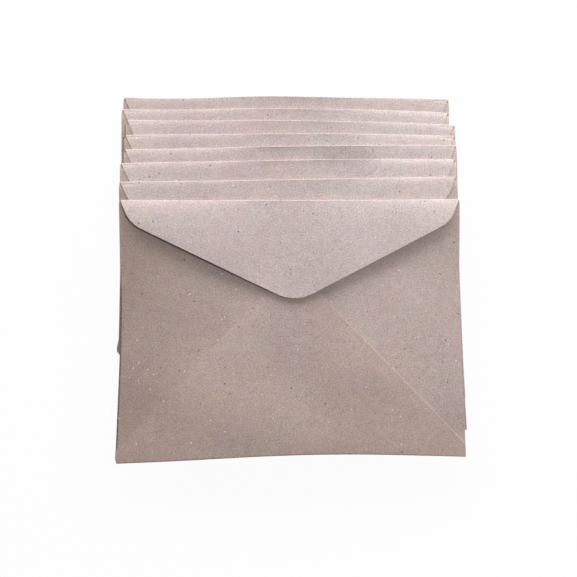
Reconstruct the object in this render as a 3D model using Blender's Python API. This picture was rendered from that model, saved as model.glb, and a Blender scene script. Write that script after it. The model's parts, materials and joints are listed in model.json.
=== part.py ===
"""A fanned pile of eight brown paper envelopes, lying flap side up.

Each envelope is one sheet folded into five panels. The face panel lies underneath. Two side flaps turn in
over it, the bottom flap is glued up over those, and the pointed seal flap turns about the top fold.
X runs along the top folds, +Y points from the front envelope to the back one, and Z is up. The pile stands
on Z = 0 with the middle of its bounding box over the origin.
"""

import math

import bpy

# The closed envelope
ENVELOPE_WIDTH = 0.14605
ENVELOPE_HEIGHT = 0.111125
PAPER = 0.00016

# Seal flap, measured down from the top fold to where its straight edges would meet
SEAL_FLAP_DEPTH = 0.0447
SEAL_TIP_ASIDE = 0.0017
SEAL_TIP_RADIUS = 0.017
SEAL_SHOULDER_DROP = 0.0097
SEAL_SHOULDER_INSET = 0.004
SEAL_SHOULDER_RADIUS = 0.012

# The front envelope's seal flap has nothing on it, so its crease holds it this far open
FRONT_FLAP_SPRING_DEGREES = 1.4

# Bottom flap, measured up from the bottom fold to where its straight edges would meet
BOTTOM_FLAP_HEIGHT = 0.084
BOTTOM_TIP_RADIUS = 0.010
BOTTOM_SHOULDER_RISE = 0.0065

# Side flaps: how far they stay clear of the folds and of each other, and how far the outer flaps cover them
SIDE_FLAP_TOP_DROP = 0.004
SIDE_FLAP_BOTTOM_RISE = 0.0015
SIDE_FLAP_SPACING = 0.003
SIDE_NOSE_RADIUS = 0.011
SEAL_COVER = 0.010
SEAM_COVER = 0.030

# Glue under the bottom flap's edges
GLUE_THICKNESS = 0.00006
GLUE_INSET = 0.0015
GLUE_WIDTH = 0.004
GLUE_FROM_SIDE = 0.014

# Dry gum under the seal flap's edges
GUM_THICKNESS = 0.00006
GUM_INSET = 0.002
GUM_WIDTH = 0.008
GUM_FROM_SHOULDER = 0.012

# Clearances between the layers
POCKET_GAP = 0.00012
LAYER_GAP = 0.0001
PILE_GAP = 0.00014

# A panel's edge stands this far inside the fold that it hangs on
FOLD_CLEARANCE = 0.00015

# Arcs take one point for about every so many degrees of turn
ARC_STEP_DEGREES = 11.0

# The fan, from the back envelope to the front one: how far each top fold lies behind the front envelope's and
# to the right of it, and how many degrees it is turned anticlockwise
FAN = (
    (0.0484, -0.0004, -0.2),
    (0.0421, -0.0009, -0.5),
    (0.0363, 0.0014, -0.8),
    (0.0300, 0.0010, -0.1),
    (0.0243, 0.0010, 0.7),
    (0.0177, 0.0000, 0.7),
    (0.0093, -0.0002, 0.8),
    (0.0000, 0.0000, 0.0),
)

# Heights of the layers above the underside of their own envelope
SIDE_FLAP_Z = PAPER + POCKET_GAP
GLUE_Z = SIDE_FLAP_Z + PAPER + LAYER_GAP
BOTTOM_FLAP_Z = GLUE_Z + GLUE_THICKNESS + LAYER_GAP
GUM_Z = BOTTOM_FLAP_Z + PAPER + LAYER_GAP
SEAL_FLAP_Z = GUM_Z + GUM_THICKNESS + LAYER_GAP
ENVELOPE_PITCH = SEAL_FLAP_Z + PAPER + PILE_GAP

# The open seal flap lies level with the face panel, so its hinge is halfway up between the two
HINGE_Z = (SEAL_FLAP_Z + PAPER) / 2


def clear_scene():
    """Removes every object of the scene."""
    for obj in list(bpy.data.objects):
        bpy.data.objects.remove(obj, do_unlink=True)


def make_material(name, colour, roughness):
    """A plain non-metal finish."""
    material = bpy.data.materials.new(name)
    material.use_nodes = True
    shader = material.node_tree.nodes["Principled BSDF"]
    shader.inputs["Base Color"].default_value = (*colour, 1.0)
    shader.inputs["Roughness"].default_value = roughness
    shader.inputs["Metallic"].default_value = 0.0
    return material


def direction(start, end):
    """The unit vector from one point to another, and the distance between them."""
    length = math.dist(start, end)
    return ((end[0] - start[0]) / length, (end[1] - start[1]) / length), length


def rounded(corners):
    """The outline through corners (x, y, radius), with an arc in place of each corner that has a radius."""
    points = []
    for index, (x, y, radius) in enumerate(corners):
        before = corners[index - 1][:2]
        after = corners[(index + 1) % len(corners)][:2]
        arriving, length_in = direction(before, (x, y))
        leaving, length_out = direction((x, y), after)
        turn = math.atan2(
            arriving[0] * leaving[1] - arriving[1] * leaving[0],
            arriving[0] * leaving[0] + arriving[1] * leaving[1],
        )
        if radius <= 0 or turn == 0:
            points.append((x, y))
            continue
        half_turn = math.tan(abs(turn) / 2)
        reach = min(radius * half_turn, length_in / 2, length_out / 2)
        radius = reach / half_turn
        side = math.copysign(1.0, turn)
        start = (x - arriving[0] * reach, y - arriving[1] * reach)
        centre = (start[0] - arriving[1] * radius * side, start[1] + arriving[0] * radius * side)
        first = math.atan2(start[1] - centre[1], start[0] - centre[0])
        steps = max(1, round(math.degrees(abs(turn)) / ARC_STEP_DEGREES))
        for step in range(steps + 1):
            angle = first + turn * step / steps
            points.append((centre[0] + radius * math.cos(angle), centre[1] + radius * math.sin(angle)))
    return points


def shifted_right(start, end, distance):
    """A line moved sideways, to the right as seen along it."""
    (dx, dy), _ = direction(start, end)
    return (start[0] + dy * distance, start[1] - dx * distance), (dx, dy)


def crossing(line_a, line_b):
    """Where two lines, each a point and a direction, cross."""
    (ax, ay), (adx, ady) = line_a
    (bx, by), (bdx, bdy) = line_b
    along = ((bx - ax) * bdy - (by - ay) * bdx) / (adx * bdy - ady * bdx)
    return (ax + adx * along, ay + ady * along)


def edge_band(first, tip, last, tip_radius, inset, width, trim):
    """A band along the two edges that meet at a flap's tip, on the right of the way first to tip to last.

    It lies inset from the edges, and it stops short of the edges' far ends by trim.
    """
    rows = []
    for depth in (inset, inset + width):
        edge_in = shifted_right(first, tip, depth)
        edge_out = shifted_right(tip, last, depth)
        (start_x, start_y), (in_x, in_y) = edge_in
        (_, _), (out_x, out_y) = edge_out
        (end_x, end_y), _ = shifted_right(last, tip, -depth)
        corner = crossing(edge_in, edge_out)
        rows.append(
            [
                (start_x + in_x * trim, start_y + in_y * trim, 0.0),
                (*corner, max(tip_radius - depth, 0.0)),
                (end_x - out_x * trim, end_y - out_y * trim, 0.0),
            ]
        )
    outer, inner = rows
    return rounded(outer + inner[::-1])


def seal_flap_corners():
    """The seal flap's left shoulder, tip and right shoulder."""
    shoulder_x = ENVELOPE_WIDTH / 2 - SEAL_SHOULDER_INSET
    return (
        (-shoulder_x, -SEAL_SHOULDER_DROP),
        (SEAL_TIP_ASIDE, -SEAL_FLAP_DEPTH),
        (shoulder_x, -SEAL_SHOULDER_DROP),
    )


def seal_flap_outline():
    """The pointed flap below the top fold, with rounded shoulders and a rounded tip."""
    left, tip, right = seal_flap_corners()
    half_width = ENVELOPE_WIDTH / 2 - FOLD_CLEARANCE
    return rounded(
        [
            (half_width, 0.0, 0.0),
            (-half_width, 0.0, 0.0),
            (*left, SEAL_SHOULDER_RADIUS),
            (*tip, SEAL_TIP_RADIUS),
            (*right, SEAL_SHOULDER_RADIUS),
        ]
    )


def seal_gum_outline():
    """The gummed band along the seal flap's two slanting edges."""
    left, tip, right = seal_flap_corners()
    return edge_band(right, tip, left, SEAL_TIP_RADIUS, GUM_INSET, GUM_WIDTH, GUM_FROM_SHOULDER)


def bottom_flap_corners():
    """The bottom flap's left shoulder, tip and right shoulder."""
    half_width = ENVELOPE_WIDTH / 2 - FOLD_CLEARANCE
    shoulder_y = BOTTOM_SHOULDER_RISE - ENVELOPE_HEIGHT
    tip_y = BOTTOM_FLAP_HEIGHT - ENVELOPE_HEIGHT
    return (-half_width, shoulder_y), (0.0, tip_y), (half_width, shoulder_y)


def bottom_flap_outline():
    """The flap that rises from the bottom fold: short upright sides, then a blunt point."""
    left, tip, right = bottom_flap_corners()
    fold_y = FOLD_CLEARANCE - ENVELOPE_HEIGHT
    return rounded(
        [
            (left[0], fold_y, 0.0),
            (right[0], fold_y, 0.0),
            (*right, 0.0),
            (*tip, BOTTOM_TIP_RADIUS),
            (*left, 0.0),
        ]
    )


def seam_glue_outline():
    """The glue line under the bottom flap's two slanting edges."""
    left, tip, right = bottom_flap_corners()
    return edge_band(left, tip, right, BOTTOM_TIP_RADIUS, GLUE_INSET, GLUE_WIDTH, GLUE_FROM_SIDE)


def height_between(start, end, x):
    """The height at x of the straight line from start to end."""
    return start[1] + (end[1] - start[1]) * (x - start[0]) / (end[0] - start[0])


def side_flap_outline(side):
    """A side flap from its fold to its nose at the middle: side is -1 for the left one and 1 for the right.

    The nose lies under the seal flap's edge by SEAL_COVER and under the bottom flap's edge by SEAM_COVER.
    """
    fold_x = ENVELOPE_WIDTH / 2 - FOLD_CLEARANCE
    nose_x = SIDE_FLAP_SPACING / 2
    seal_left, seal_tip, _ = seal_flap_corners()
    seam_left, seam_tip, _ = bottom_flap_corners()
    nose_top = height_between(seal_left, seal_tip, -nose_x) + SEAL_COVER
    nose_bottom = height_between(seam_left, seam_tip, -nose_x) - SEAM_COVER
    return rounded(
        [
            (side * fold_x, -SIDE_FLAP_TOP_DROP, 0.0),
            (side * nose_x, nose_top, SIDE_NOSE_RADIUS),
            (side * nose_x, nose_bottom, SIDE_NOSE_RADIUS),
            (side * fold_x, SIDE_FLAP_BOTTOM_RISE - ENVELOPE_HEIGHT, 0.0),
        ]
    )


def face_panel_outline():
    """The full rectangle below the top fold."""
    half_width = ENVELOPE_WIDTH / 2
    return [
        (-half_width, -ENVELOPE_HEIGHT),
        (half_width, -ENVELOPE_HEIGHT),
        (half_width, 0.0),
        (-half_width, 0.0),
    ]


def flat_shape(name, outline, thickness, material):
    """A flat filled curve with its middle on Z = 0, extruded to its thickness."""
    curve = bpy.data.curves.new(name, "CURVE")
    curve.dimensions = "2D"
    curve.fill_mode = "BOTH"
    curve.extrude = thickness / 2
    spline = curve.splines.new("POLY")
    spline.points.add(len(outline) - 1)
    for point, (x, y) in zip(spline.points, outline):
        point.co = (x, y, 0.0, 1.0)
    spline.use_cyclic_u = True
    curve.materials.append(material)
    return curve


def add_empty(collection, name, parent, location):
    """A plain axes empty that carries the pieces parented to it."""
    empty = bpy.data.objects.new(name, None)
    empty.empty_display_size = ENVELOPE_HEIGHT / 10
    empty.parent = parent
    empty.location = location
    collection.objects.link(empty)
    return empty


def add_piece(collection, name, shape, thickness, parent, underside):
    """One panel or glue layer, with its underside at the given height above its parent."""
    piece = bpy.data.objects.new(name, shape)
    piece.parent = parent
    piece.location = (0.0, 0.0, underside + thickness / 2)
    collection.objects.link(piece)
    return piece


def make_shapes():
    """The seven flat shapes that every envelope repeats, with their thickness."""
    face = make_material("face_paper", (0.42, 0.34, 0.30), 0.85)
    side = make_material("side_flap_paper", (0.40, 0.32, 0.28), 0.85)
    bottom = make_material("bottom_flap_paper", (0.44, 0.35, 0.31), 0.85)
    seal = make_material("seal_flap_paper", (0.55, 0.45, 0.41), 0.85)
    glue = make_material("seam_glue", (0.78, 0.74, 0.62), 0.45)
    gum = make_material("seal_gum", (0.66, 0.60, 0.46), 0.30)
    layers = {
        "face_panel": (face_panel_outline(), PAPER, face),
        "left_side_flap": (side_flap_outline(-1), PAPER, side),
        "right_side_flap": (side_flap_outline(1), PAPER, side),
        "seam_glue": (seam_glue_outline(), GLUE_THICKNESS, glue),
        "bottom_flap": (bottom_flap_outline(), PAPER, bottom),
        "seal_gum": (seal_gum_outline(), GUM_THICKNESS, gum),
        "seal_flap": (seal_flap_outline(), PAPER, seal),
    }
    return {
        name: (flat_shape(name, outline, thickness, material), thickness)
        for name, (outline, thickness, material) in layers.items()
    }


def fan_middle():
    """The middle of the fan's bounding box, seen from above, counted from the front envelope's top fold."""
    xs = []
    ys = []
    for behind, aside, turn in FAN:
        cosine = math.cos(math.radians(turn))
        sine = math.sin(math.radians(turn))
        for x, y in face_panel_outline():
            xs.append(aside + cosine * x - sine * y)
            ys.append(behind + sine * x + cosine * y)
    return (min(xs) + max(xs)) / 2, (min(ys) + max(ys)) / 2


def add_envelope(collection, number, shapes, place, flap_degrees):
    """One envelope at its place in the fan: five fixed layers, and a seal flap with its gum on the hinge.

    The seal flap stands open by flap_degrees.
    """
    behind, aside, turn = place
    middle_x, middle_y = fan_middle()
    name = f"envelope_{number}"
    base_z = (number - 1) * ENVELOPE_PITCH
    body = add_empty(collection, name, None, (aside - middle_x, behind - middle_y, base_z))
    body.rotation_euler = (0.0, 0.0, math.radians(turn))
    fixed = {
        "face_panel": 0.0,
        "left_side_flap": SIDE_FLAP_Z,
        "right_side_flap": SIDE_FLAP_Z,
        "seam_glue": GLUE_Z,
        "bottom_flap": BOTTOM_FLAP_Z,
    }
    for layer, underside in fixed.items():
        shape, thickness = shapes[layer]
        add_piece(collection, f"{name}_{layer}", shape, thickness, body, underside)
    hinge = add_empty(collection, f"{name}_seal_flap_hinge", body, (0.0, 0.0, HINGE_Z))
    hinge.rotation_euler = (-math.radians(flap_degrees), 0.0, 0.0)
    for layer, underside in {"seal_gum": GUM_Z, "seal_flap": SEAL_FLAP_Z}.items():
        shape, thickness = shapes[layer]
        add_piece(collection, f"{name}_{layer}", shape, thickness, hinge, underside - HINGE_Z)


def main():
    """Builds the pile, from the envelope at the back to the one in front."""
    clear_scene()
    collection = bpy.data.collections.new("envelope_pile")
    bpy.context.scene.collection.children.link(collection)
    shapes = make_shapes()
    for number, place in enumerate(FAN, start=1):
        is_front = number == len(FAN)
        add_envelope(collection, number, shapes, place, FRONT_FLAP_SPRING_DEGREES if is_front else 0.0)


main()
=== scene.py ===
"""A fanned pile of eight grey-brown recycled paper envelopes, seen from above, on a white table."""

import json
import math

import bpy
import numpy as np
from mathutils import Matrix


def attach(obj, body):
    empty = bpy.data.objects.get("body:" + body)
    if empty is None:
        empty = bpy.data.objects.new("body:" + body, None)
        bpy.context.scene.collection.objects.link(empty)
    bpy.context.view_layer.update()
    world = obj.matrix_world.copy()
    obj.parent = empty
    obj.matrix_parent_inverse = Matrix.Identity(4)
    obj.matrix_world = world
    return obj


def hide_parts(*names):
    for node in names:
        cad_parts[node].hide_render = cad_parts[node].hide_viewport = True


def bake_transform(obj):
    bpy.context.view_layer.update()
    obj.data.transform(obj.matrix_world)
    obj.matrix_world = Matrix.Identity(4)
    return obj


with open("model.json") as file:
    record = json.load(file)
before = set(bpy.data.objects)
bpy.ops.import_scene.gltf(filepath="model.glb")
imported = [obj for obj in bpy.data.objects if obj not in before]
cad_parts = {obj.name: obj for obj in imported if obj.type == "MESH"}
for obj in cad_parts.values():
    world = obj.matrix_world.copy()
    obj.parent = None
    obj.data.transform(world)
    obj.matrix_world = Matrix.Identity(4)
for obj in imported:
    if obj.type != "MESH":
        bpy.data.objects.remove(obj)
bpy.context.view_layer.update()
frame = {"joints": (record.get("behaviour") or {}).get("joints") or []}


# Face panels
# The plain front of each envelope, which lies face down. One sheet of recycled kraft paper is die-cut and
# folded, so every panel below shares this paper, this way of lying in the pile and this way of being made.
MM = 0.001
NUMBERS = range(1, 9)
FRONT = NUMBERS[-1]
TURNS = {joint["name"]: joint for joint in frame["joints"]}
WIDTH = 0.14605
HEIGHT = 0.111125
PAPER = 0.00016
HINGE_HEIGHT = 0.00064
FACE_MIDDLE = 0.00008
FACE_COLUMNS = 56
FACE_ROWS = 44

# How far the bend at each fold stands out past the face panel
SIDE_FOLD_REACH = 0.00022
TOP_FOLD_REACH = 0.00035
BOTTOM_FOLD_REACH = 0.00043

# The paper's colours at the left, in the middle and at the right, and what varies in it
FACE_COLOUR = ((0.40, 0.31, 0.285), (0.43, 0.34, 0.315), (0.43, 0.34, 0.315))
CUT_EDGE_COLOUR = ((0.60, 0.51, 0.48),) * 3
BROWN_FLECK = (0.060, 0.036, 0.026)
PALE_FLECK = (0.86, 0.83, 0.80)
LILAC_TINGE = (0.995, 0.99, 1.02)
OCHRE_TINGE = (1.01, 0.99, 0.945)
MOTTLE = 0.16
TOOTH = 0.5
TOOTH_DEPTH = 0.00012
PAPER_ROUGHNESS = 0.80
PAPER_SHEEN = 0.4
SHEETS_APART = 0.4

# How much each kind of unevenness changes the shade
CLOUDS = 0.32
GRAIN = 1.9
PATCHES = 0.26
STRANDS = 0.07
STRAYS = 0.08
CREASE_WEAR_AND_HIGHLIGHT = 0.05
FRAYED_EDGE_AND_HIGHLIGHT = 0.24

# Each kind of fleck has its cells for each millimetre, its size in them, the share of them with one in, and
# how strong it is
DUST = ((1.05, 0.28, 0.20), 0.30)
BROWN_BITS = ((0.50, 0.20, 0.15), 0.74)
PALE_BITS = ((0.70, 0.21, 0.09), 0.85)

# A darker spot in the pile: its middle, how far it reaches along each axis, and how much darker it is. This
# one darkens nothing.
NO_DARKER_SPOT = ((0.0, 0.0, 0.0), (0.01, 0.01, 0.01), 0.0)

# Where the paper changes with its place in the pile, each from where it starts to where it is full: the
# painted shade along the front envelope's left fold and on the pile's lower right, the painted light on the
# strips behind the front envelope, the browner lower end and the change of colour from left to right. The
# first is in millimetres past the side fold, those across are in shares of the width, the rest in metres.
FOLD_SHADE_PAST_FOLD = (0.95, 0.45)
FOLD_SHADE_ON_LEFT = (0.0, -0.2)
FOLD_SHADE_BELOW_Y = (0.006, -0.010)
FOLD_SHADE_ABOVE_Y = (-0.0770, -0.0750)
FOLD_SHADE_ABOVE_Z = (0.003, 0.005)
LOW_RIGHT_SHADE_ON_RIGHT = (0.0, 0.2)
LOW_RIGHT_SHADE_BELOW_Y = (-0.010, -0.050)
STRIP_LIGHT_ABOVE_Y = (0.033, 0.042)
OCHRE_BELOW_Y = (-0.01, -0.09)
LEFT_TO_MIDDLE = (-0.5, -0.1)
MIDDLE_TO_RIGHT = (-0.02, 0.16)

# How each top fold bows in its sheet, from the back envelope to the front one, and all bottom folds alike:
# the sizes, in millimetres, of one half wave across it, of two and so on
TOP_BOWS = (
    (0.54, -0.24, -0.26, -0.21),
    (0.97, -0.29, -0.06, -0.15),
    (0.82, -0.17, -0.03, -0.10),
    (0.78, -0.09, 0.05, 0.01),
    (0.34, -0.16, 0.0, -0.07),
    (0.45, -0.08, 0.08, 0.02),
    (-0.20, -0.08, 0.0, -0.02),
    (-0.38, 0.02, -0.03, -0.01),
)
BOTTOM_BOW = (2.1, -0.3, -0.1)

# How far each envelope's sides stand out, in millimetres: the left one at its top and bottom, how far it
# draws in between them, how far the lower left corner stands out besides and comes down, and then the right
# side's top and bottom and how far its lower corner comes down
SIDES = (
    (0.3, -0.3, 0.65, 0.0, 0.0, 0.3, -0.3, 0.0),
    (0.3, -0.1, 0.65, 0.6, -2.1, 0.3, -0.3, 0.0),
    (0.4, -0.3, 0.65, 0.0, 0.0, 0.3, -0.3, 0.0),
    (0.4, -0.3, 0.65, 0.0, 0.0, 0.3, -0.3, 0.0),
    (0.4, -0.3, 0.65, 0.0, 0.0, 0.3, -0.3, 0.0),
    (0.75, -0.2, 0.65, 0.0, 0.0, 0.3, -0.9, 0.0),
    (0.65, -0.3, 0.65, 0.0, 0.0, 0.3, 0.5, -1.3),
    (0.5, 1.5, 0.75, 0.2, 0.35, 0.8, 0.98, -0.3),
)
RIGHT_WAIST = 0.0010

# Where down its side a lower left corner starts to stand out and to come back in, and over how much, as
# shares of the height
FLARE_OUT = (0.93, 0.04)
FLARE_IN = (0.98, 0.02)

# Below the folds the pile is thinner at its sides and cockled, and its overhanging lower end sags. Each
# wave of the cockle has its radians for each metre along X and along Y, and its start.
SLACK_FROM_Y = 0.035
SLACK_OVER = 0.060
SIDE_THINNING = 0.22
SAG_FROM_Y = -0.0315
SAG_OVER = 0.0484
SAG = 0.0022
SAG_LESS_AT_SIDES = 0.4
COCKLE = 0.00030
COCKLE_WAVES = ((95, 40, 0.6), (-35, 120, 1.1))
STEP_AT = (-0.058, -0.0364)
STEP_OVER = (0.010, 0.0012)
STEP = 0.00006
PILE_HEIGHT = 0.0112


def bowed(across, sizes):
    """The bow at a share across a fold: one half wave, two and so on, of these sizes in mm, added up."""
    return sum(size * MM * np.sin((wave + 1) * np.pi * across) for wave, size in enumerate(sizes))


def smooth_step(value):
    """Rises from 0 to 1 while the value does, without a corner at either end."""
    share = np.clip(value, 0.0, 1.0)
    return share * share * (3 - 2 * share)


def laid(number, x, y, z):
    """Where a point of an envelope lies in the pile.

    Its folds bow and its sides draw in, and it is turned and moved to its place in the fan. Then the whole
    pile thins towards its sides, cockles, steps down past the back envelopes' left corner and sags at its
    lower end, so that no sheet passes through another.
    """
    turn = TURNS[f"seal_flap_{number}_turn"]
    fold_x, fold_y, fold_z = turn["pos_m"]
    along_x, along_y = -turn["axis"][0], -turn["axis"][1]
    down = np.clip(-y / HEIGHT, 0.0, 1.0)
    across = np.clip(x / WIDTH + 0.5, 0.0, 1.0)
    y = y + bowed(across, TOP_BOWS[number - 1]) * (1 - down) + bowed(across, BOTTOM_BOW) * down**2
    left_top, left_end, left_waist, flare, left_drop = np.array(SIDES[number - 1][:5]) * MM
    right_top, right_end, right_drop = np.array(SIDES[number - 1][5:]) * MM
    y = y - (left_drop * (1 - across) ** 2 + right_drop * across**2) * down**2
    lower, waist = smooth_step(2 * down - 1), np.sin(np.pi * down)
    flared_out = smooth_step((down - FLARE_OUT[0]) / FLARE_OUT[1])
    flared_in = smooth_step((down - FLARE_IN[0]) / FLARE_IN[1])
    left_out = left_top + (left_end - left_top) * lower - left_waist * waist
    left_out = left_out + flare * (flared_out - 2 * flared_in)
    right_out = right_top + (right_end - right_top) * lower - RIGHT_WAIST * waist
    x = x + np.where(x < 0, left_out, right_out) * (2 * x / WIDTH)
    place_x = fold_x + along_x * x - along_y * y
    place_y = fold_y + along_y * x + along_x * y
    place_z = fold_z - HINGE_HEIGHT + z
    slack = smooth_step((SLACK_FROM_Y - place_y) / SLACK_OVER)
    outwards = (2 * place_x / WIDTH) ** 2
    sagging = np.clip((SAG_FROM_Y - place_y) / SAG_OVER, 0.0, 1.0) ** 2
    waves = [np.sin(place_x * along + place_y * up + start) for along, up, start in COCKLE_WAVES]
    lift = place_z / PILE_HEIGHT
    place_z = place_z * (1 - SIDE_THINNING * slack * outwards) + COCKLE * waves[0] * waves[1] * slack * lift
    stepped_x = smooth_step((STEP_AT[0] - place_x) / STEP_OVER[0])
    stepped_y = smooth_step((STEP_AT[1] - place_y) / STEP_OVER[1])
    sag = SAG * sagging * (1 - SAG_LESS_AT_SIDES * outwards)
    return place_x, place_y, place_z - sag - STEP * stepped_x * stepped_y * lift


class Tone:
    """One socket of a finish. Arithmetic on tones adds the Math nodes for it."""

    def __init__(self, tree, socket=None):
        self.tree = tree
        self.socket = socket

    def node(self, kind, settings, sockets, output=0):
        """Adds a node of a kind: its settings come first, then the values or links of its sockets."""
        node = self.tree.nodes.new(f"ShaderNode{kind}")
        for name, value in settings.items():
            setattr(node, name, value)
        for name, value in sockets.items():
            named = [socket for socket in node.inputs if name in (socket.identifier, socket.name)]
            target = named[0] if named else node.inputs[name]
            if isinstance(value, Tone):
                self.tree.links.new(value.socket, target)
            else:
                target.default_value = (*value, 1.0) if target.type == "RGBA" else value
        named = [socket for socket in node.outputs if output in (socket.identifier, socket.name)]
        return Tone(self.tree, named[0] if named else node.outputs[output])

    def other(self, output):
        """Another output of the same node."""
        return Tone(self.tree, self.socket.node.outputs[output])

    def feed(self, target):
        """Links this tone to a socket."""
        self.tree.links.new(self.socket, target)

    def maths(self, operation, *values):
        """A Math node on tones and numbers."""
        return self.node("Math", {"operation": operation}, dict(enumerate(values)))

    def __add__(self, other):
        return self.maths("ADD", self, other)

    __radd__ = __add__

    def __sub__(self, other):
        return self.maths("SUBTRACT", self, other)

    def __rsub__(self, other):
        return self.maths("SUBTRACT", other, self)

    def __mul__(self, other):
        return self.maths("MULTIPLY", self, other)

    __rmul__ = __mul__

    def __abs__(self):
        return self.maths("ABSOLUTE", self)

    def or_less(self, other):
        """The smaller of two tones."""
        return self.maths("MINIMUM", self, other)

    def band(self, low, high):
        """0 at low and 1 at high, smooth between them."""
        limits = {"Value": self, "From Min": low, "From Max": high}
        return self.node("MapRange", {"interpolation_type": "SMOOTHSTEP"}, limits)

    def between(self, under, over):
        """The colour that lies this share of the way from one colour to another."""
        sockets = {"Factor_Float": self, "A_Color": under, "B_Color": over}
        return self.node("Mix", {"data_type": "RGBA"}, sockets, "Result_Color")

    def dyed(self, colour):
        """This colour times another."""
        return self.node("VectorMath", {"operation": "MULTIPLY"}, {0: self, 1: colour})

    def plus(self, other):
        """This vector and another."""
        return self.node("VectorMath", {"operation": "ADD"}, {0: self, 1: other})

    def shaded(self, amount):
        """This colour or vector times a number."""
        return self.node("VectorMath", {"operation": "SCALE"}, {0: self, "Scale": amount})

    def turned(self, degrees, stretch=(1.0, 1.0, 1.0)):
        """These coordinates turned about Z after they are stretched."""
        sockets = {"Vector": self, "Rotation": (0.0, 0.0, math.radians(degrees)), "Scale": stretch}
        return self.node("Mapping", {}, sockets)

    def noise(self, scale, detail=2.0, roughness=0.5):
        """Cloudy noise, about 0.5 on average."""
        sockets = {"Vector": self, "Scale": scale, "Detail": detail, "Roughness": roughness}
        return self.node("TexNoise", {}, sockets)

    def flecks(self, scale, size, share):
        """Round flecks, 1 inside: this share of the cells holds one, and no two need be of one size."""
        distance = self.node("TexVoronoi", {}, {"Vector": self, "Scale": scale})
        chance = self.node("SeparateColor", {}, {0: distance.other("Color")})
        return (chance.band(1 - share, 1 - share * 0.3) * size - distance).band(0.0, 0.06)


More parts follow.
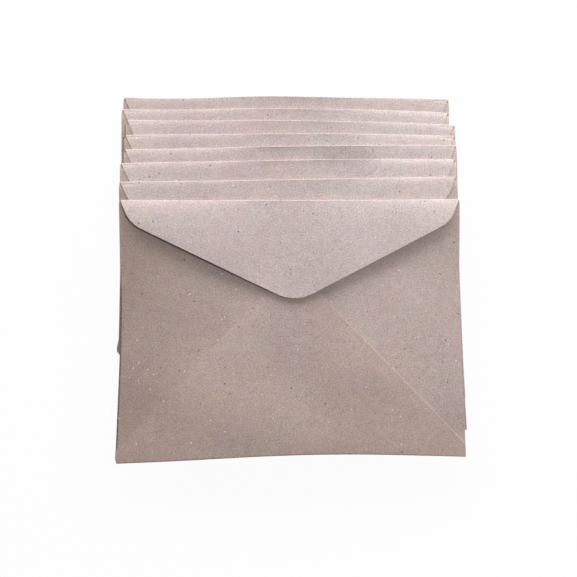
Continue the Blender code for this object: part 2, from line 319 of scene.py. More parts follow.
def paper_finish(
    name, colours, tooth=TOOTH, ends_light=0.0, darker_spot=NO_DARKER_SPOT, fold_shade=0.0, low_right_shade=0.0, strip_light=0.0
):
    """Recycled kraft: a cloudy felt of fibres with flecks in it, paler where it is creased or cut.

    The felt reads the place on the flat sheet, in millimetres, so that it runs on round the folds. The
    paleness at the creases and cut edges is partly wear and partly painted highlight. The three colours
    are those at the left, in the middle and at the right of the pile, darker on the left as painted shade.
    tooth is how rough the paper feels. The arguments after it are, in order: how much paler both sides are
    than the middle, which is painted light; a darker spot, which serves for painted shade and for a darker
    patch; how much darker the front envelope's left fold is, as painted shade; how much darker the pile's
    lower right is, as painted shade; and how much paler the strips behind the front envelope are, as
    painted light. The pile is browner towards its lower end.
    """
    material = bpy.data.materials.new(name)
    material.use_nodes = True
    tree = material.node_tree
    shader = tree.nodes["Principled BSDF"]
    felt = Tone(tree).node("Attribute", {"attribute_name": "sheet"}, {}, "Vector").shaded(1 / MM)
    clouds = felt.noise(0.30, 3.0)
    mottle = felt.noise(0.11, 4.0, 0.65).other("Color").shaded(MOTTLE).plus([1 - MOTTLE / 2] * 3)
    grain = felt.noise(1.5, 4.0, 0.75)
    patches = felt.noise(0.035, 2.0)
    spot = felt.node("TexCoord", {}, {}, "Object")
    place = felt.node("SeparateXYZ", {}, {0: spot})
    side = place * (1 / WIDTH)
    up = place.other("Y")
    darker_at, darker_reach, darker_by = darker_spot
    in_reaches = spot.dyed([1 / reach for reach in darker_reach])
    there = [at / reach for at, reach in zip(darker_at, darker_reach)]
    from_darker_spot = felt.node("VectorMath", {"operation": "DISTANCE"}, {0: in_reaches, 1: there}, "Value")
    lilac_to_ochre = felt.turned(40).noise(0.035, 2.5, 0.6).band(0.36, 0.66) * 0.4
    tinge = lilac_to_ochre + 0.1 + up.band(*OCHRE_BELOW_Y) * 0.6
    strands = abs(felt.turned(25, (0.30, 3.2, 1.0)).noise(1.0) - 0.5).band(0.03, 0.0)
    strands = strands * clouds.band(0.45, 0.65)
    strays = abs(felt.turned(-48, (0.35, 3.6, 1.0)).noise(1.0) - 0.5).band(0.03, 0.0)
    strays = strays * grain.band(0.45, 0.7)
    on_sheet = felt.node("SeparateXYZ", {}, {0: felt})
    past_side = abs(on_sheet) - WIDTH / 2 / MM
    along = on_sheet.other("Y")
    to_ends = abs(along).or_less(abs(along + HEIGHT / MM))
    to_fold = to_ends.or_less(abs(past_side))
    # paler along the folds: wear, and a painted highlight on the rounded folds
    crease_wear_and_highlight = to_fold.band(0.75, 0.0) * grain.band(0.25, 0.75)
    cut = felt.node("Attribute", {"attribute_name": "from_cut"}, {}, "Fac") * (1 / MM)
    # paler near a cut edge: fraying, and a painted highlight on the bottom flap's right seam
    frayed_and_highlit = cut.band(0.16, 0.0) * grain.band(0.1, 0.6)
    # Painted shade: a dark band along the front envelope's left fold, standing in for the shade on the
    # envelopes below it
    at_left_fold = past_side.band(*FOLD_SHADE_PAST_FOLD) * side.band(*FOLD_SHADE_ON_LEFT)
    open_air = up.band(*FOLD_SHADE_BELOW_Y) * up.band(*FOLD_SHADE_ABOVE_Y)
    fold_shaded = at_left_fold * open_air * place.other("Z").band(*FOLD_SHADE_ABOVE_Z)
    shade = (
        1.0
        + (clouds - 0.5) * CLOUDS
        + (grain - 0.5) * GRAIN
        + (patches - 0.5) * PATCHES
        + strands * STRANDS
        - strays * STRAYS
        + crease_wear_and_highlight * CREASE_WEAR_AND_HIGHLIGHT
        + frayed_and_highlit * FRAYED_EDGE_AND_HIGHLIGHT
        # painted light: paler ends and a darker middle
        + (side * side * 4 - 0.4) * ends_light
        # a darker spot: painted shade on the body below the front seal flap's tip, and a darker patch on
        # the fifth seal flap
        - from_darker_spot.band(1.0, 0.2) * darker_by
        # painted shade along the front envelope's left fold
        - fold_shaded * fold_shade
        # painted shade on the pile's lower right
        - side.band(*LOW_RIGHT_SHADE_ON_RIGHT) * up.band(*LOW_RIGHT_SHADE_BELOW_Y) * low_right_shade
        # painted light on the side flaps of the strips behind the front envelope
        + up.band(*STRIP_LIGHT_ABOVE_Y) * strip_light
    )
    # the colour goes from left to right; the darker left is painted shade
    left_dye = side.band(*LEFT_TO_MIDDLE).between(colours[0], colours[1])
    dye = side.band(*MIDDLE_TO_RIGHT).between(left_dye, colours[2])
    pulp = tinge.between(LILAC_TINGE, OCHRE_TINGE).dyed(mottle).dyed(dye).shaded(shade)
    ragged = felt.plus(felt.noise(1.6, 2.0).other("Color").shaded(0.7))
    dusty = (ragged.flecks(*DUST[0]) * DUST[1]).between(pulp, BROWN_FLECK)
    dark = (ragged.flecks(*BROWN_BITS[0]) * BROWN_BITS[1]).between(dusty, BROWN_FLECK)
    flecked = (ragged.turned(70).flecks(*PALE_BITS[0]) * PALE_BITS[1]).between(dark, PALE_FLECK)
    height = grain * 0.6 + clouds * 0.5 + strands * 0.35 + strays * 0.25
    flecked.feed(shader.inputs["Base Color"])
    (PAPER_ROUGHNESS + (grain - 0.5) * 0.25).feed(shader.inputs["Roughness"])
    bump = felt.node("Bump", {}, {"Strength": tooth, "Distance": TOOTH_DEPTH, "Height": height})
    bump.feed(shader.inputs["Normal"])
    shader.inputs["Specular IOR Level"].default_value = PAPER_SHEEN
    return material


cut_edge = paper_finish("cut_edge_paper", CUT_EDGE_COLOUR)


def grid_piece(name, number, place, flat, thickness, finishes, from_cut=1.0):
    """A thin solid piece of an envelope, from a grid of points.

    place holds x, y and z in the envelope. For the finishes the attribute "sheet" keeps flat, the point's
    place on the sheet before it is folded, and "from_cut" how far it lies from a free cut edge. The sheets
    lie a way apart in the felt, so that no two look alike. The grid's border is sharp, and it gets its
    thickness evenly to both sides, with the last finish on its edges.
    """
    points = np.stack(np.broadcast_arrays(*laid(number, *place)), -1)
    rows, columns = points.shape[:2]
    corner = np.arange(rows * columns).reshape(rows, columns)
    faces = np.stack([corner[:-1, :-1], corner[1:, :-1], corner[1:, 1:], corner[:-1, 1:]], -1)
    mesh = bpy.data.meshes.new(name)
    mesh.from_pydata(points.reshape(-1, 3).tolist(), [], faces.reshape(-1, 4).tolist())
    across, along = np.broadcast_arrays(*flat)
    sheet = np.stack([across, along, np.full_like(across, number * SHEETS_APART)], -1)
    mesh.attributes.new("sheet", "FLOAT_VECTOR", "POINT").data.foreach_set("vector", sheet.ravel())
    distance = np.broadcast_to(from_cut, across.shape).astype(np.float32)
    mesh.attributes.new("from_cut", "FLOAT", "POINT").data.foreach_set("value", distance.ravel())
    edge_of_corner = np.empty(len(mesh.loops), dtype=np.int32)
    mesh.loops.foreach_get("edge_index", edge_of_corner)
    is_border = np.bincount(edge_of_corner, minlength=len(mesh.edges)) == 1
    mesh.edges.foreach_set("use_edge_sharp", is_border)
    mesh.shade_smooth()
    for finish in finishes:
        mesh.materials.append(finish)
    piece = bpy.data.objects.new(name, mesh)
    bpy.context.scene.collection.objects.link(piece)
    solid = piece.modifiers.new("thickness", "SOLIDIFY")
    solid.thickness = thickness
    solid.offset = 0.0
    solid.material_offset_rim = len(finishes) - 1
    finished = bpy.data.meshes.new_from_object(piece.evaluated_get(bpy.context.evaluated_depsgraph_get()))
    piece.modifiers.clear()
    piece.data = finished
    return piece


def fit(piece, body, node):
    """The piece rides on a body and stands for a solid, which is hidden."""
    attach(piece, body)
    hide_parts(node)


face_paper = paper_finish("face_paper", FACE_COLOUR)
for number in NUMBERS:
    half = WIDTH / 2 - SIDE_FOLD_REACH
    columns = np.linspace(-half, half, FACE_COLUMNS)
    rows = np.linspace(-TOP_FOLD_REACH, BOTTOM_FOLD_REACH - HEIGHT, FACE_ROWS)
    x, y = np.meshgrid(columns, rows)
    panel = grid_piece(
        f"envelope_{number}_face", number, (x, y, FACE_MIDDLE), (x, y), PAPER, (face_paper, cut_edge)
    )
    fit(panel, f"envelope_{number}", f"envelope_{number}_face_panel")


# Side flaps
# Two blunt wings of the same sheet, folded in over the face panel first. They stay a little apart at the
# middle, and only the triangle between the seal flap and the seam shows of each.
SIDE_FLAP_MIDDLE = 0.00036
# Painted shade: a darker copy of the seal flap's paper, and darker still on the left
SIDE_FLAP_SHADED_COLOUR = ((0.382, 0.290, 0.257), (0.465, 0.362, 0.328), (0.510, 0.408, 0.380))
BODY_TOOTH = 0.65
# Painted shade on the body just below the front seal flap's tip
PAINTED_SHADE_BELOW_TIP = ((0.004, -0.025, 0.012), (0.028, 0.028, 0.028), 0.11)
# Painted shade along the front envelope's left fold: how much darker it makes the paper
PAINTED_FOLD_SHADE = 0.60
# Painted shade on the pile's lower right: how much darker it makes the paper
PAINTED_LOW_RIGHT_SHADE = 0.10
# Painted light on the side flaps of the strips behind the front envelope: how much paler it makes them
PAINTED_STRIP_LIGHT = 0.25
SIDE_FLAP_TOP = -0.0015
SIDE_FLAP_BOTTOM = 0.0015 - HEIGHT
SIDE_NOSE_X = 0.0015
SIDE_NOSE_TOP = -0.0331
SIDE_NOSE_BOTTOM = -0.0587
SIDE_NOSE_RADIUS = 0.011
SIDE_CUT_INSET = 0.0002
SIDE_PUFF = 0.00055
SIDE_PUFF_FROM_SEAM = (0.002, 0.012)
SIDE_PUFF_FROM_TOP = (0.0007, 0.0030)
SIDE_COLUMNS = 84
SIDE_ROWS = 34
SIDE_GATHERING = 1.4
BEND_STEPS = 9
ARC_STEPS = 16

# The seam, the bottom flap's cut: the end and tip of its slanting line on the right, which the left mirrors
SEAM_END = (WIDTH / 2 - 0.00015, 0.0058 - HEIGHT)
SEAM_TIP = (0.0, 0.0829 - HEIGHT)
SEAM_SLOPE = (SEAM_TIP[1] - SEAM_END[1]) / SEAM_END[0]

# How far the last rows of a panel lie from its cut, and the share of the way that this may be at the most
LAST_ROWS = np.array([0.0014, 0.0006, 0.0003, 0.00012, 0.0])[:, None]
LAST_SHARES = np.array([0.030, 0.020, 0.012, 0.005, 0.0])[:, None]
SHORTEST_WAY = 0.0001


def cut_line(corners, count, trim=0.0):
    """Evenly spaced points, as complex numbers, along a cut through corners (x, y, radius).

    An arc of a corner's radius leaves the edge before it at radius times the tangent of half the turn, and
    its points turn evenly about their centre. The cut may be shorter by trim at both ends.
    """
    spots = [complex(x, y) for x, y, _ in corners]
    path = [np.array(spots[:1])]
    for before, spot, after, (_, _, radius) in zip(spots, spots[1:], spots[2:], corners[1:]):
        arriving = (spot - before) / abs(spot - before)
        leaving = (after - spot) / abs(after - spot)
        turn = np.angle(leaving / arriving)
        reach = min(radius * math.tan(abs(turn) / 2), abs(spot - before) / 2)
        start = spot - arriving * reach
        centre = start + arriving * 1j * reach / math.tan(turn / 2)
        path.append(centre + (start - centre) * np.exp(1j * turn * np.linspace(0.0, 1.0, ARC_STEPS)))
    path = np.concatenate([*path, np.array(spots[-1:])])
    reached = np.concatenate([[0.0], np.cumsum(abs(np.diff(path)))])
    even = np.linspace(trim, reached[-1] - trim, count)
    return np.interp(even, reached, path.real) + 1j * np.interp(even, reached, path.imag)


def across_panel(fold, cut, rows, gathering):
    """A grid from a fold line to a cut line, and each point's distance from the cut.

    Each row is a share of the way. The rows gather at the fold by a power, and the last five lie close to
    the cut.
    """
    way = abs(cut - fold)
    regular = np.linspace(0.0, 1.0, rows)[:-1, None] ** gathering
    last = 1 - np.minimum(LAST_ROWS / np.maximum(way, SHORTEST_WAY), LAST_SHARES)
    share = np.concatenate([np.broadcast_to(regular, (rows - 1, len(cut))), last])
    return fold + (cut - fold) * share, way * (1 - share)


def bend(low, high, reach):
    """Half an ellipse up from one layer to another: how far out and how high it is, and its length."""
    angle = np.linspace(0.0, np.pi, BEND_STEPS)[:, None]
    radius = (high - low) / 2
    return reach * np.sin(angle), low + radius * (1 - np.cos(angle)), (reach + radius) / 2 * angle


def from_seam(x, y):
    """How far a point lies from the two slanting lines of the seam: below 0 is inside the bottom flap."""
    return (y + abs(x) * SEAM_SLOPE - SEAM_TIP[1]) / math.hypot(1.0, SEAM_SLOPE)


def side_flap_height(number, x, y):
    """The height of a side flap: it puffs up away from its seam and top fold, except on the front one."""
    puff = SIDE_PUFF if number < FRONT else 0.0
    clear_of_seam = smooth_step((from_seam(x, y) - SIDE_PUFF_FROM_SEAM[0]) / SIDE_PUFF_FROM_SEAM[1])
    clear_of_top = smooth_step((-y - SIDE_PUFF_FROM_TOP[0]) / SIDE_PUFF_FROM_TOP[1])
    return SIDE_FLAP_MIDDLE + puff * clear_of_seam * clear_of_top


side_paper = paper_finish(
    "side_flap_paper",
    SIDE_FLAP_SHADED_COLOUR,
    tooth=BODY_TOOTH,
    darker_spot=PAINTED_SHADE_BELOW_TIP,
    fold_shade=PAINTED_FOLD_SHADE,
    low_right_shade=PAINTED_LOW_RIGHT_SHADE,
    strip_light=PAINTED_STRIP_LIGHT,
)
for number in NUMBERS:
    for side, hand in ((-1, "left"), (1, "right")):
        fold_x = WIDTH / 2 - SIDE_FOLD_REACH
        cut = cut_line(
            (
                (fold_x - SIDE_CUT_INSET, SIDE_FLAP_TOP, 0.0),
                (SIDE_NOSE_X, SIDE_NOSE_TOP, SIDE_NOSE_RADIUS),
                (SIDE_NOSE_X, SIDE_NOSE_BOTTOM, SIDE_NOSE_RADIUS),
                (fold_x - SIDE_CUT_INSET, SIDE_FLAP_BOTTOM, 0.0),
            ),
            SIDE_COLUMNS,
        )
        fold = fold_x + 1j * np.linspace(SIDE_FLAP_TOP, SIDE_FLAP_BOTTOM, SIDE_COLUMNS)
        wing = across_panel(fold, cut, SIDE_ROWS, SIDE_GATHERING)[0][1:]
        high = side_flap_height(number, fold.real, fold.imag)
        out, rise, length = bend(FACE_MIDDLE, high, SIDE_FOLD_REACH - PAPER / 2)
        bent_x, bent_y = np.broadcast_arrays(fold_x + out, fold.imag)
        x = np.concatenate([bent_x, wing.real])
        y = np.concatenate([bent_y, wing.imag])
        z = np.concatenate([rise, side_flap_height(number, wing.real, wing.imag)])
        flat = np.concatenate([fold_x + length, 2 * fold_x + length[-1] - wing.real])
        panel = grid_piece(
            f"envelope_{number}_{hand}_side",
            number,
            (side * x, y, z),
            (side * flat, y),
            PAPER,
            (side_paper, cut_edge),
        )
        fit(panel, f"envelope_{number}", f"envelope_{number}_{hand}_side_flap")


# Seam glue
# A thin line of dried paste just inside the bottom flap's two slanting edges, which holds that flap down on
# the side flaps.
GLUE_THICKNESS = 0.00006
GLUE_MIDDLE = 0.00057
GLUE_INSET = 0.0015
GLUE_WIDTH = 0.004
GLUE_FROM_SIDE = 0.014
GLUE_COLOUR = (0.66, 0.60, 0.47)
GLUE_ROUGHNESS = 0.45
GLUE_COLUMNS = 120
GLUE_ROWS = 6
WANDERS = ((0.05, 0.7, 0.0), (0.03, 1.9, 1.0))
GLAZE_TOOTH = 0.4
GLAZE_DEPTH = 0.00008
BOTTOM_TIP_RADIUS = 0.010
BOTTOM_CUT = (
    (-SEAM_END[0], SEAM_END[1], 0.0),
    (*SEAM_TIP, BOTTOM_TIP_RADIUS),
    (*SEAM_END, 0.0),
)


def band_inside(cut, inset, width, rows, side):
    """A band beside a cut: its points lie square to the cut, from inset to inset and width inwards.

    side is 1 where the paper lies left of the cut, and -1 where it lies right of it. The inner edge wanders
    as a brush or roller leaves it, by waves that each have a size, radians for each point, and a start.
    """
    ahead = np.gradient(cut)
    square = 1j * side * ahead / abs(ahead)
    spot = np.arange(len(cut))
    wander = 1 + sum(size * np.sin(spot * rate + start) for size, rate, start in WANDERS)
    share = np.linspace(0.0, 1.0, rows)[:, None]
    return cut + square * (inset + width * wander * share)


def glaze_finish(name, colour, roughness):
    """Dried gum: a clear yellowish skin, thicker in some places, with fine brush marks and pinholes."""
    material = bpy.data.materials.new(name)
    material.use_nodes = True
    tree = material.node_tree
    shader = tree.nodes["Principled BSDF"]
    skin = Tone(tree).node("Attribute", {"attribute_name": "sheet"}, {}, "Vector").shaded(1 / MM)
    pools = skin.noise(0.45, 3.0)
    brushed = skin.turned(0, (0.2, 2.4, 1.0)).noise(1.0, 2.0)
    pinholes = skin.flecks(1.2, 0.22, 0.12)
    shade = 0.88 + pools * 0.20 + (brushed - 0.5) * 0.10
    gum = pools.band(0.3, 0.7).between(colour, [part * 0.9 for part in colour])
    gum.shaded(shade).feed(shader.inputs["Base Color"])
    (roughness + pinholes * 0.3 + (brushed - 0.5) * 0.15).feed(shader.inputs["Roughness"])
    height = pools * 0.8 + brushed * 0.3 - pinholes * 0.6
    bump = skin.node("Bump", {}, {"Strength": GLAZE_TOOTH, "Distance": GLAZE_DEPTH, "Height": height})
    bump.feed(shader.inputs["Normal"])
    return material


seam_glue = glaze_finish("seam_glue", GLUE_COLOUR, GLUE_ROUGHNESS)
for number in NUMBERS:
    line = cut_line(BOTTOM_CUT, GLUE_COLUMNS, GLUE_FROM_SIDE)
    glue = band_inside(line, GLUE_INSET, GLUE_WIDTH, GLUE_ROWS, -1)
    piece = grid_piece(
        f"envelope_{number}_glue",
        number,
        (glue.real, glue.imag, GLUE_MIDDLE),
        (glue.real, glue.imag),
        GLUE_THICKNESS,
        (seam_glue,),
    )
    fit(piece, f"envelope_{number}", f"envelope_{number}_seam_glue")


# Bottom flap
# The large pointed flap that is folded up from the bottom over the side flaps and glued along its two
# slanting edges. Its edges lie pressed down on the glue, and it stands a little full between them.
BOTTOM_FLAP_MIDDLE = 0.00078
# Painted shade: a darker copy of the seal flap's paper, darker on the left
BOTTOM_FLAP_SHADED_COLOUR = ((0.405, 0.308, 0.278), (0.480, 0.375, 0.345), (0.458, 0.351, 0.322))
SEAM_PRESS = 0.00005
SEAM_PRESS_REACH = 0.0035
EDGE_CRUSH = 0.00008
EDGE_CRUSH_REACH = 0.00016
EDGE_CRUSH_MIDDLE = 0.55
EDGE_CRUSH_TO_RIGHT = 6.5
FULLNESS = 0.00028
FULL_INSIDE_SEAM = 0.015
FULL_ABOVE_FOLD = 0.010
FULL_BELOW_FLAP = (0.035, 0.040)
BOTTOM_COLUMNS = 130
BOTTOM_ROWS = 46
BOTTOM_GATHERING = 1.5


def bottom_flap_height(x, y):
    """The height of the bottom flap: pressed down in bell shapes along its edges, and full in the middle.

    The very edge is crushed by a narrower bell, which deepens to the right.
    """
    inside = np.maximum(-from_seam(x, y), 0.0)
    pressed = SEAM_PRESS * np.exp(-((inside / SEAM_PRESS_REACH) ** 2))
    crush = EDGE_CRUSH * (EDGE_CRUSH_MIDDLE + EDGE_CRUSH_TO_RIGHT * x)
    pressed = pressed + crush * np.exp(-((inside / EDGE_CRUSH_REACH) ** 2))
    clear_of_flap = smooth_step((-y - FULL_BELOW_FLAP[0]) / FULL_BELOW_FLAP[1])
    full = (1 - np.exp(-inside / FULL_INSIDE_SEAM)) * (1 - np.exp(-(y + HEIGHT) / FULL_ABOVE_FOLD))
    return BOTTOM_FLAP_MIDDLE - pressed + FULLNESS * full * clear_of_flap


bottom_paper = paper_finish(
    "bottom_flap_paper", BOTTOM_FLAP_SHADED_COLOUR, tooth=BODY_TOOTH, darker_spot=PAINTED_SHADE_BELOW_TIP
)
for number in NUMBERS:
    fold = np.linspace(-SEAM_END[0], SEAM_END[0], BOTTOM_COLUMNS) + 1j * (BOTTOM_FOLD_REACH - HEIGHT)
    cut = cut_line(BOTTOM_CUT, BOTTOM_COLUMNS)
    flap = across_panel(fold, cut, BOTTOM_ROWS, BOTTOM_GATHERING)[0][1:]
    out, rise, length = bend(FACE_MIDDLE, BOTTOM_FLAP_MIDDLE, BOTTOM_FOLD_REACH - PAPER / 2)
    bent_x, bent_y, bent_z = np.broadcast_arrays(fold.real, fold.imag - out, rise)
    x = np.concatenate([bent_x, flap.real])
    y = np.concatenate([bent_y, flap.imag])
    z = np.concatenate([bent_z, bottom_flap_height(flap.real, flap.imag)])
    flat = np.concatenate([fold.imag - length, 2 * fold.imag - length[-1] - flap.imag])
    # Only the right seam counts as a cut edge here, so only it gets the paler edge: a painted highlight
    # where the lamp on the right catches it
    highlit_seam_edge = np.where(flap.real > 0, -from_seam(flap.real, flap.imag), 1.0)
    free = np.concatenate([np.ones_like(bent_x), highlit_seam_edge])
    panel = grid_piece(
        f"envelope_{number}_bottom", number, (x, y, z), (x, flat), PAPER, (bottom_paper, cut_edge), free
    )
    fit(panel, f"envelope_{number}", f"envelope_{number}_bottom_flap")


# Seal flap
# The pointed flap that closes the envelope, turned over the top fold and left unsealed. It rolls down to
# its fold. The front one has nothing on it, so it springs up, and its gummed edges curl up the most.
SEAL_FLAP_MIDDLE = 0.00120
# Painted light: a paler copy of the side and bottom flaps' paper, a little darker on the left as painted
# shade
SEAL_FLAP_LIT_COLOUR = ((0.546, 0.454, 0.435), (0.557, 0.457, 0.440), (0.571, 0.486, 0.466))
# A darker patch on the fifth envelope's seal flap
DARKER_PATCH_ON_FIFTH = ((0.0245, 0.0508, 0.0069), (0.021, 0.0062, 0.004), 0.22)
# Painted light: how much paler the seal flaps' ends are than their middle
PAINTED_SEAL_ENDS_LIGHT = 0.09
SEAL_COLUMNS = 150
SEAL_ROWS = 34
SEAL_GATHERING = 1.8
SEAL_SIDE = WIDTH / 2 - 0.0009
SEAL_CUT_DROP = 0.0004
SEAL_FROM_FOLD = 0.0008
LEFT_SHOULDER = (-0.0680, -0.01045)
RIGHT_SHOULDER = (0.0686, -0.0101)
SEAL_SHOULDER_RADIUS = 0.013
SEAL_TIP = (0.0014, -0.0449)
SEAL_TIP_RADIUS = 0.017
ROLL = 0.00062
ROLL_REACH = 0.0017
ROLL_ON_LEFT = (0.006, 0.032)
ROLL_ON_RIGHT = (0.014, 0.042)
LIFT = 0.00173
LIFT_REACH = 0.008
LIFT_IN_MIDDLE = 0.43
LIFT_AT_SIDES = (0.012, 0.030)
LIFT_TO_LEFT = 1.5
PLEAT = 0.00010
PLEAT_DEPTH = 0.0012
PLEAT_WIDTH = 0.0004
PLEAT_AT_SIDES = (0.0635, 0.005)

# How much each seal flap rolls down to its fold at the left end, in the middle and at the right end of it,
# from the back envelope to the front one
ROLLS = (
    (0.6, -0.20, 0.6),
    (1.1, 0.0, 1.6),
    (0.9, -0.10, 1.0),
    (0.9, -0.10, 1.2),
    (1.1, -0.60, 0.5),
    (1.1, -0.20, 1.5),
    (0.6, 0.0, 1.0),
    (0.5, -0.10, 0.5),
)

# How deep the little pleat is at the left and right ends of each fold
PLEATS = ((0.4, 1.0), (1.0, 1.0), (0.5, 1.0), (1.0, 1.0), (0.2, 0.2), (1.0, 0.3), (1.0, 0.0), (0.3, 0.3))


def seal_flap_height(number, x, depth):
    """The height of a seal flap at a depth below its fold.

    It rolls off towards the fold as an exponential, by its own amount at each end and hardly at all in the
    middle, and has a pleat, a bell-shaped groove, along each end of the fold. The front envelope's flap
    lifts by a gentler exponential, less than half as far in the middle as at its sides, and more on the
    left.
    """
    left, middle, right = ROLLS[number - 1]
    at_left = smooth_step((-x - ROLL_ON_LEFT[0]) / ROLL_ON_LEFT[1])
    at_right = smooth_step((x - ROLL_ON_RIGHT[0]) / ROLL_ON_RIGHT[1])
    share = left * at_left + right * at_right + middle * (1 - at_left - at_right)
    rolled = ROLL * share * np.exp(-depth / ROLL_REACH)
    pleat = np.where(x < 0, *PLEATS[number - 1])
    pleat = pleat * smooth_step((abs(x) - PLEAT_AT_SIDES[0]) / PLEAT_AT_SIDES[1])
    pleated = PLEAT * pleat * np.exp(-(((depth - PLEAT_DEPTH) / PLEAT_WIDTH) ** 2))
    at_sides = smooth_step((abs(x) - LIFT_AT_SIDES[0]) / LIFT_AT_SIDES[1])
    cupped = (LIFT_IN_MIDDLE + (1 - LIFT_IN_MIDDLE) * at_sides) * (1 - LIFT_TO_LEFT * x)
    lift = LIFT if number == FRONT else 0.0
    return SEAL_FLAP_MIDDLE - pleated - rolled + lift * cupped * (1 - np.exp(-depth / LIFT_REACH))


seal_paper = paper_finish("seal_flap_paper", SEAL_FLAP_LIT_COLOUR, ends_light=PAINTED_SEAL_ENDS_LIGHT, darker_spot=DARKER_PATCH_ON_FIFTH)
for number in NUMBERS:
    cut = cut_line(
        (
            (-SEAL_SIDE, -TOP_FOLD_REACH - SEAL_CUT_DROP, 0.0),
            (*LEFT_SHOULDER, SEAL_SHOULDER_RADIUS),
            (*SEAL_TIP, SEAL_TIP_RADIUS),
            (*RIGHT_SHOULDER, SEAL_SHOULDER_RADIUS),
            (SEAL_SIDE, -TOP_FOLD_REACH - SEAL_CUT_DROP, 0.0),
        ),
        SEAL_COLUMNS,
    )
    fold = np.linspace(-SEAL_SIDE, SEAL_SIDE, SEAL_COLUMNS) - 1j * TOP_FOLD_REACH
    flap, free = across_panel(fold, cut, SEAL_ROWS, SEAL_GATHERING)
    z = seal_flap_height(number, flap.real, -flap.imag)
    panel = grid_piece(
        f"envelope_{number}_seal",
        number,
        (flap.real, flap.imag, z),
        (flap.real, SEAL_FROM_FOLD - flap.imag),
        PAPER,
        (seal_paper, cut_edge),
        free,
    )
    fit(panel, f"seal_flap_{number}", f"envelope_{number}_seal_flap")


# Seal gum
# The band of dried gum under the seal flap's two slanting edges, never wetted. It shows when a flap is
# open.
GUM_THICKNESS = 0.00006
GUM_INSET = 0.002
GUM_WIDTH = 0.008
GUM_FROM_SHOULDER = 0.012
GUM_COLOUR = (0.60, 0.53, 0.41)
GUM_ROUGHNESS = 0.24
GUM_COLUMNS = 120
GUM_ROWS = 8

seal_gum = glaze_finish("seal_gum", GUM_COLOUR, GUM_ROUGHNESS)
for number in NUMBERS:
    edge = cut_line(
        (
            (*LEFT_SHOULDER, 0.0),
            (*SEAL_TIP, SEAL_TIP_RADIUS),
            (*RIGHT_SHOULDER, 0.0),
        ),
        GUM_COLUMNS,
        GUM_FROM_SHOULDER,
    )
    gum = band_inside(edge, GUM_INSET, GUM_WIDTH, GUM_ROWS, 1)
    z = seal_flap_height(number, gum.real, -gum.imag) - (PAPER + GUM_THICKNESS) / 2
    piece = grid_piece(
        f"envelope_{number}_gum",
        number,
        (gum.real, gum.imag, z),
        (gum.real, gum.imag),
        GUM_THICKNESS,
        (seal_gum,),
    )
    fit(piece, f"seal_flap_{number}", f"envelope_{number}_seal_gum")


# Top fold
# The rounded crease where the sheet turns over from the face panel into the seal flap.
TOP_FOLD_LENGTH = 0.0018
TOP_FOLD_ROWS = 13

for number in NUMBERS:
    x = np.linspace(-SEAL_SIDE, SEAL_SIDE, SEAL_COLUMNS)[None, :]
    angle = np.linspace(0.0, np.pi, TOP_FOLD_ROWS)[:, None]
    top = seal_flap_height(number, x, TOP_FOLD_REACH)
    y = -TOP_FOLD_REACH + (TOP_FOLD_REACH - PAPER / 2) * np.sin(angle)
    z = FACE_MIDDLE + (top - FACE_MIDDLE) * (1 - np.cos(angle)) / 2
    flat = -TOP_FOLD_REACH + TOP_FOLD_LENGTH * angle / np.pi
    fold = grid_piece(
        f"envelope_{number}_top_fold", number, (x, y, z), (x, flat), PAPER, (seal_paper, cut_edge)
    )
    fold_x, fold_y, fold_z = TURNS[f"seal_flap_{number}_turn"]["pos_m"]
    underside = fold_z - HINGE_HEIGHT
    underside + top.min()
    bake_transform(fold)


# Table
# A plain white table top under the pile, which takes its soft shadow.
TABLE_DROP = 0.00005
TABLE_HALF = 4.0
TABLE_COLOUR = (0.86, 0.86, 0.86)
TABLE_GLOW = 0.95
WHITE = (1.0, 1.0, 1.0)


def seen_by_camera(start):
    """1 on a ray from the camera, also by way of a mirror or glass, and 0 on the rays that light things."""
    path = start.node("LightPath", {}, {}, "Is Camera Ray")
    return (path + path.other("Is Glossy Ray") + path.other("Is Transmission Ray")).or_less(1.0)


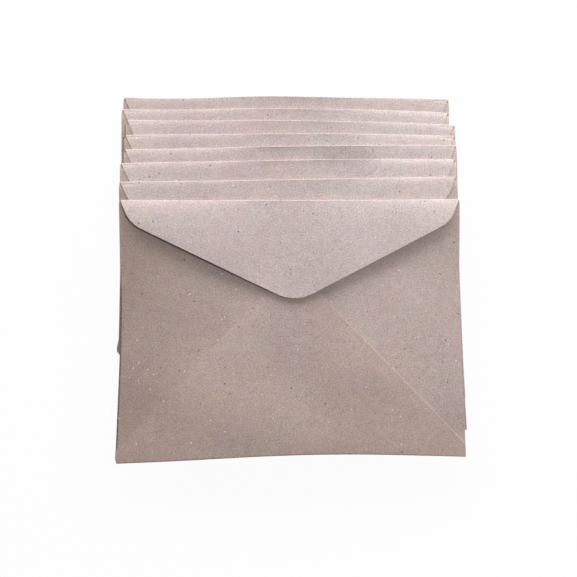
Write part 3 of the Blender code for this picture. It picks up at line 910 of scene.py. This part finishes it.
table_corners = ((-1, -1), (1, -1), (1, 1), (-1, 1))
table_mesh = bpy.data.meshes.new("table")
table_mesh.from_pydata(
    [(x * TABLE_HALF, y * TABLE_HALF, -TABLE_DROP) for x, y in table_corners], [], [(0, 1, 2, 3)]
)
table = bpy.data.objects.new("table", table_mesh)
bpy.context.scene.collection.objects.link(table)
table_white = bpy.data.materials.new("table_white")
table_white.use_nodes = True
table_mesh.materials.append(table_white)
tree = table_white.node_tree
tree.nodes.clear()
start = Tone(tree)
board = start.node("BsdfDiffuse", {}, {"Color": TABLE_COLOUR})
glow = start.node("Emission", {}, {"Color": WHITE, "Strength": 1.0})
start.node("MixShader", {}, {0: seen_by_camera(start) * TABLE_GLOW, 1: board, 2: glow}).feed(
    tree.nodes.new("ShaderNodeOutputMaterial").inputs["Surface"]
)


# Light
# A very wide soft lamp, as a row of windows, low over the far side, a small one high up on the right, and
# an even white sky. Each lamp has its direction from the pile, its distance, its width and height, and its
# power.
LAMPS = {
    "low_light": ((-0.058, 0.953, 0.297), 1.88, (6.80, 0.66), 141.0),
    "high_light": ((0.440, 0.008, 0.898), 0.80, (0.06, 0.06), 2.0),
}
SKY = 0.180

for name, (direction, distance, (width, height), power) in LAMPS.items():
    lamp = bpy.data.lights.new(name, "AREA")
    lamp.shape = "RECTANGLE"
    lamp.size = width
    lamp.size_y = height
    lamp.energy = power
    stand = bpy.data.objects.new(name, lamp)
    bpy.context.scene.collection.objects.link(stand)
    stand.location = [part * distance for part in direction]
    stand.rotation_euler = stand.location.to_track_quat("Z", "Y").to_euler()
    stand.visible_camera = False

world = bpy.data.worlds.new("white_sky")
bpy.context.scene.world = world
world.use_nodes = True
tree = world.node_tree
tree.nodes.clear()
start = Tone(tree)
sky = start.node("Background", {}, {"Color": WHITE, "Strength": SKY})
white = start.node("Background", {}, {"Color": WHITE, "Strength": 1.0})
start.node("MixShader", {}, {0: seen_by_camera(start), 1: sky, 2: white}).feed(
    tree.nodes.new("ShaderNodeOutputWorld").inputs["Surface"]
)


# Camera
# It stands a little below the pile's middle and looks almost straight down, as the photograph was taken.
SENSOR_MM = 36.0
LENS_MM = 49.41
CAMERA_PLACE = (-0.01503, -0.03969, 0.3466)
CAMERA_TURN_DEGREES = (5.525, -2.246, -0.611)

camera_data = bpy.data.cameras.new("camera")
camera_data.sensor_width = SENSOR_MM
camera_data.lens = LENS_MM
camera = bpy.data.objects.new("camera", camera_data)
bpy.context.scene.collection.objects.link(camera)
camera.location = CAMERA_PLACE
camera.rotation_euler = [math.radians(angle) for angle in CAMERA_TURN_DEGREES]
bpy.context.scene.camera = camera

bpy.context.scene.view_settings.view_transform = "Standard"
